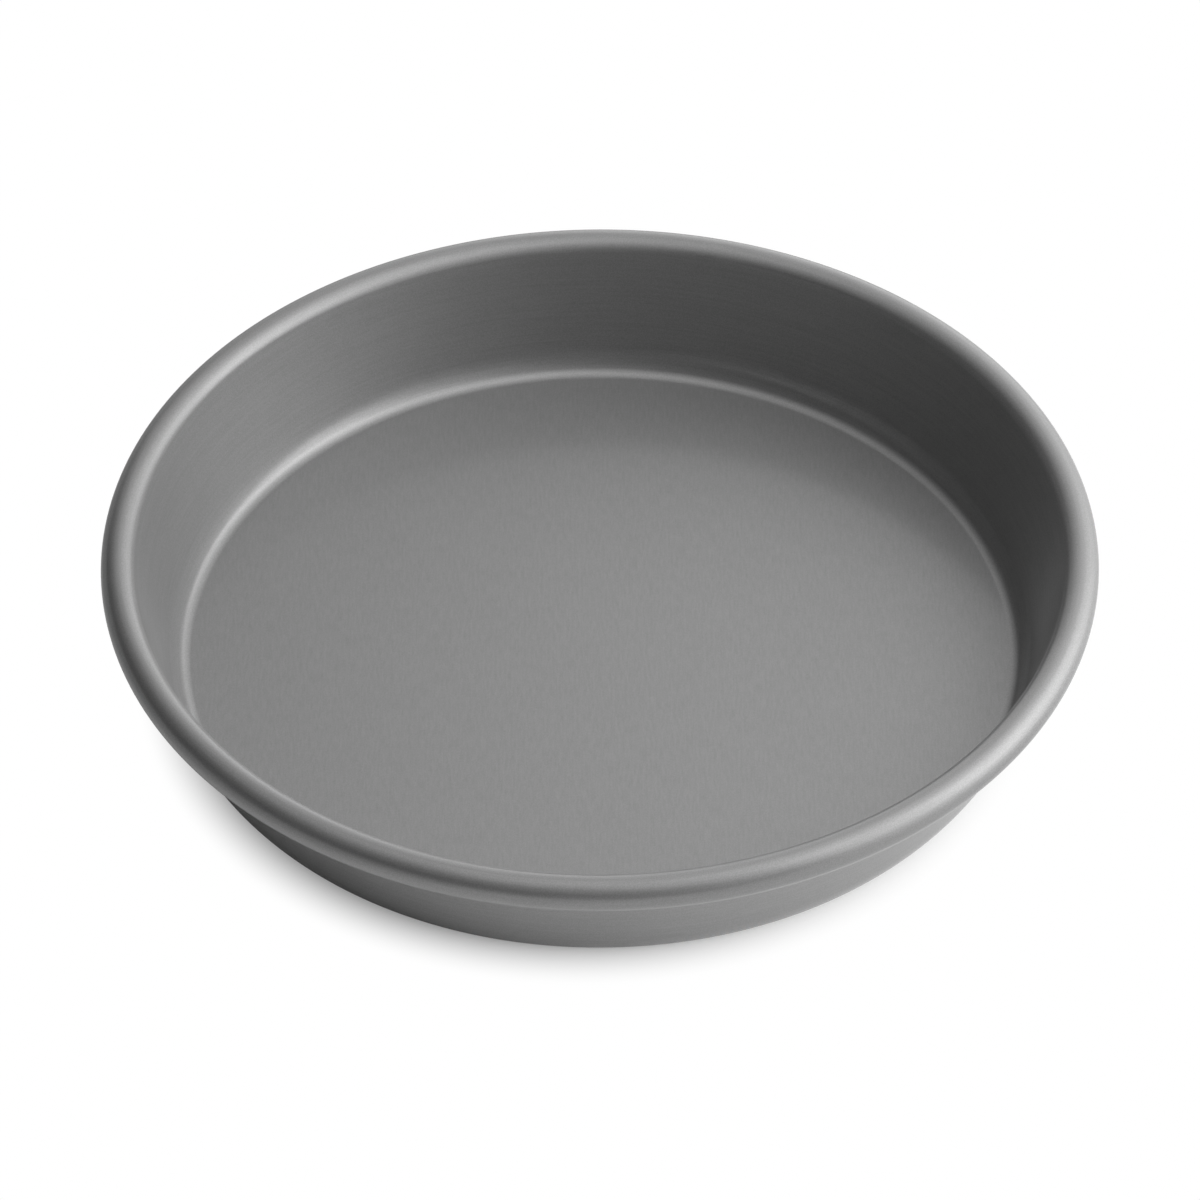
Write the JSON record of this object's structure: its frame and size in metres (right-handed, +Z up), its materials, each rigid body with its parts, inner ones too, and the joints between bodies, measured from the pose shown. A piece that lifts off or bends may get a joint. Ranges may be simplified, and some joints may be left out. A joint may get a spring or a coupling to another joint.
{
  "type": "deep dish pizza pan",
  "caption": "Round tapered metal pan with a flat floor, rounded inside corner, outward-leaning wall and a rolled bead rim over a stiffening wire, for baking deep dish pizza.",
  "frame": {"origin": "centre of the underside of the floor, on the surface that the pan stands on", "axes": "+Z up along the pan's axis, out of its mouth; X and Y are any two level directions, because the pan is round"},
  "size_m": [0.3276, 0.3276, 0.0497],
  "materials": {
    "satin_grey_aluminium": "satin, neutral mid grey, fine rolling grain on the floor and fine turning lines on the wall",
    "plain_aluminium_wire": "drawn, uncoated"
  },
  "bodies": {
    "root": {"pan_body": "satin_grey_aluminium", "rim_wire": "plain_aluminium_wire"}
  },
  "joints": []
}
